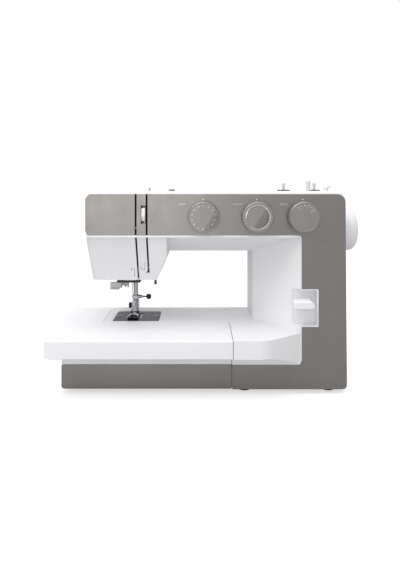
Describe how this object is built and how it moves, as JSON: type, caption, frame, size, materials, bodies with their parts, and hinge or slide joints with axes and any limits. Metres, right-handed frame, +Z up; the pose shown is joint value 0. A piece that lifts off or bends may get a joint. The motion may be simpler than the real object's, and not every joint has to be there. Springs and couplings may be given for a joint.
{
  "type": "sewing machine",
  "caption": "Free-arm domestic sewing machine with a grey front panel, three dials and an extension table.",
  "frame": {"origin": "on the surface the rubber feet stand on, under the middle of the machine's outline", "axes": "+X towards the handwheel, -Y towards the sewer, +Z up"},
  "size_m": [0.4049, 0.17, 0.2648],
  "materials": {
    "white_shell": "satin moulded ABS",
    "grey_panel": "fine metallic satin paint",
    "grey_dial": "satin moulded plastic",
    "dark_plastic": "black moulded plastic",
    "pale_plastic": "natural moulded plastic",
    "bright_steel": "bright nickel plate",
    "machined_steel": "turned and ground",
    "plate_metal": "satin plated",
    "cast_metal": "die cast, shot blasted",
    "bronze": "sintered bronze",
    "rubber": "matte rubber",
    "lamp_lens": "frosted lens"
  },
  "bodies": {
    "root": {"base_plate": "grey_dial", "rubber_feet": "rubber", "front_panel": "grey_panel", "front_cover": "white_shell", "rear_cover": "white_shell", "top_cover": "white_shell", "face_cover": "white_shell", "side_cover": "white_shell", "bed_cover": "white_shell", "free_arm_cover": "white_shell", "needle_plate": "plate_metal", "case_screws": "bright_steel", "arm_frame": "cast_metal", "shaft_bushes": "bronze", "stitch_cam_unit": "pale_plastic", "tension_unit": "machined_steel", "top_thread_guide": "bright_steel", "winder_tension_disc": "bright_steel", "spool_felts": "rubber", "winder_stop": "white_shell", "lever_housing": "white_shell", "power_inlet": "dark_plastic", "sewing_lamp": "lamp_lens", "motor": "dark_plastic", "motor_belt": "rubber", "timing_belt": "rubber", "shuttle_race": "machined_steel", "bobbin_case": "machined_steel"},
    "handwheel": {"handwheel": "white_shell", "arm_shaft": "machined_steel"},
    "motor_rotor": {"motor_pulley": "machined_steel"},
    "lower_shaft": {"lower_shaft": "machined_steel"},
    "pattern_dial": {"pattern_dial": "grey_dial"},
    "length_dial": {"length_dial": "grey_dial"},
    "width_dial": {"width_dial": "grey_dial"},
    "reverse_lever": {"reverse_lever": "white_shell"},
    "tension_dial": {"tension_dial": "white_shell"},
    "take_up_lever": {"take_up_lever": "bright_steel"},
    "needle_bar_frame": {"needle_bar_frame": "machined_steel"},
    "needle_bar": {"needle_bar": "bright_steel", "needle_clamp": "bright_steel", "clamp_screw": "dark_plastic", "needle": "bright_steel"},
    "presser_lifter": {"presser_lifter": "dark_plastic"},
    "presser_bar": {"presser_bar": "bright_steel", "foot_holder": "bright_steel", "presser_foot": "bright_steel"},
    "needle_threader": {"needle_threader": "pale_plastic"},
    "spool_pin_left": {"spool_pin_left": "pale_plastic"},
    "spool_pin_right": {"spool_pin_right": "pale_plastic"},
    "winder_arm": {"winder_arm": "dark_plastic"},
    "winder_spindle": {"winder_spindle": "pale_plastic"},
    "extension_table": {"extension_table": "white_shell", "table_facing": "grey_panel"},
    "shuttle_hook": {"shuttle_hook": "machined_steel"},
    "bobbin": {"bobbin": "pale_plastic"},
    "feed_dog": {"feed_dog": "machined_steel"},
    "shuttle_cover": {"shuttle_cover": "white_shell"},
    "carry_handle": {"carry_handle": "white_shell"},
    "power_switch": {"power_switch": "dark_plastic"}
  },
  "joints": [
    {"name": "handwheel_turn", "type": "hinge", "parent": "root", "child": "handwheel", "pos_m": [0.15, 0.005, 0.1989], "axis": [1, 0, 0], "continuous": true},
    {"name": "motor_turn", "type": "hinge", "parent": "root", "child": "motor_rotor", "pos_m": [0.15, 0.019, 0.108], "axis": [1, 0, 0], "continuous": true},
    {"name": "lower_shaft_turn", "type": "hinge", "parent": "root", "child": "lower_shaft", "pos_m": [0.06, 0.005, 0.05], "axis": [1, 0, 0], "continuous": true},
    {"name": "pattern_turn", "type": "hinge", "parent": "root", "child": "pattern_dial", "pos_m": [-0.002, -0.055, 0.2194], "axis": [0, 1, 0], "continuous": true},
    {"name": "length_turn", "type": "hinge", "parent": "root", "child": "length_dial", "pos_m": [0.0642, -0.055, 0.2194], "axis": [0, 1, 0], "range_deg": [-150, 150]},
    {"name": "width_turn", "type": "hinge", "parent": "root", "child": "width_dial", "pos_m": [0.121, -0.055, 0.2194], "axis": [0, 1, 0], "range_deg": [-120, 120]},
    {"name": "reverse_press", "type": "hinge", "parent": "root", "child": "reverse_lever", "pos_m": [0.125, -0.018, 0.111], "axis": [1, 0, 0], "range_deg": [0, 14], "stiffness_Nm_per_rad": 0.3, "springref_deg": -17.19},
    {"name": "tension_turn", "type": "hinge", "parent": "root", "child": "tension_dial", "pos_m": [-0.076, -0.043, 0.222], "axis": [1, 0, 0], "range_deg": [-150, 150]},
    {"name": "take_up_swing", "type": "hinge", "parent": "root", "child": "take_up_lever", "pos_m": [-0.086, -0.008, 0.2], "axis": [1, 0, 0], "range_deg": [-25, 25]},
    {"name": "zigzag_swing", "type": "hinge", "parent": "root", "child": "needle_bar_frame", "pos_m": [-0.096, 0.031, 0.236], "axis": [0, 1, 0], "range_deg": [-1.25, 1.25]},
    {"name": "needle_stroke", "type": "slide", "parent": "needle_bar_frame", "child": "needle_bar", "axis": [0, 0, 1], "range_m": [-0.016, 0.014]},
    {"name": "presser_lift", "type": "hinge", "parent": "root", "child": "presser_lifter", "pos_m": [-0.072, 0.057, 0.158], "axis": [1, 0, 0], "range_deg": [0, 40]},
    {"name": "presser_bar_rise", "type": "slide", "parent": "root", "child": "presser_bar", "axis": [0, 0, 1], "range_m": [0, 0.006]},
    {"name": "threader_press", "type": "slide", "parent": "root", "child": "needle_threader", "axis": [0, 0, 1], "range_m": [-0.025, 0], "stiffness_N_per_m": 20, "springref_m": 0.02},
    {"name": "left_pin_pull", "type": "slide", "parent": "root", "child": "spool_pin_left", "axis": [0, 0, 1], "range_m": [0, 0.04]},
    {"name": "right_pin_pull", "type": "slide", "parent": "root", "child": "spool_pin_right", "axis": [0, 0, 1], "range_m": [0, 0.04]},
    {"name": "winder_shift", "type": "slide", "parent": "root", "child": "winder_arm", "axis": [1, 0, 0], "range_m": [0, 0.006]},
    {"name": "winder_spin", "type": "hinge", "parent": "winder_arm", "child": "winder_spindle", "pos_m": [0.1402, 0, 0.24], "axis": [0, 0, 1], "continuous": true},
    {"name": "table_slide", "type": "slide", "parent": "root", "child": "extension_table", "axis": [-1, 0, 0], "range_m": [0, 0.235]},
    {"name": "hook_swing", "type": "hinge", "parent": "root", "child": "shuttle_hook", "pos_m": [-0.096, 0.012, 0.054], "axis": [0, 1, 0], "range_deg": [-95, 95]},
    {"name": "bobbin_spin", "type": "hinge", "parent": "root", "child": "bobbin", "pos_m": [-0.096, 0.008, 0.054], "axis": [0, 1, 0], "continuous": true},
    {"name": "feed_stroke", "type": "slide", "parent": "root", "child": "feed_dog", "axis": [0, 1, 0], "range_m": [-0.002, 0.002]},
    {"name": "shuttle_cover_open", "type": "hinge", "parent": "root", "child": "shuttle_cover", "pos_m": [-0.094, -0.00175, 0.042], "axis": [1, 0, 0], "range_deg": [0, 88]},
    {"name": "handle_swing", "type": "hinge", "parent": "root", "child": "carry_handle", "pos_m": [0.045, 0.0798, 0.236], "axis": [1, 0, 0], "range_deg": [0, 175]},
    {"name": "switch_rock", "type": "hinge", "parent": "root", "child": "power_switch", "pos_m": [0.17, 0.03, 0.058], "axis": [0, -1, 0], "range_deg": [0, 12]}
  ],
  "couplings": [
    {"joint": "motor_turn", "follows": "handwheel_turn", "ratio": 3.3333},
    {"joint": "lower_shaft_turn", "follows": "handwheel_turn", "ratio": 1},
    {"joint": "presser_lift", "follows": "presser_bar_rise", "rad_per_m": 116.36}
  ]
}
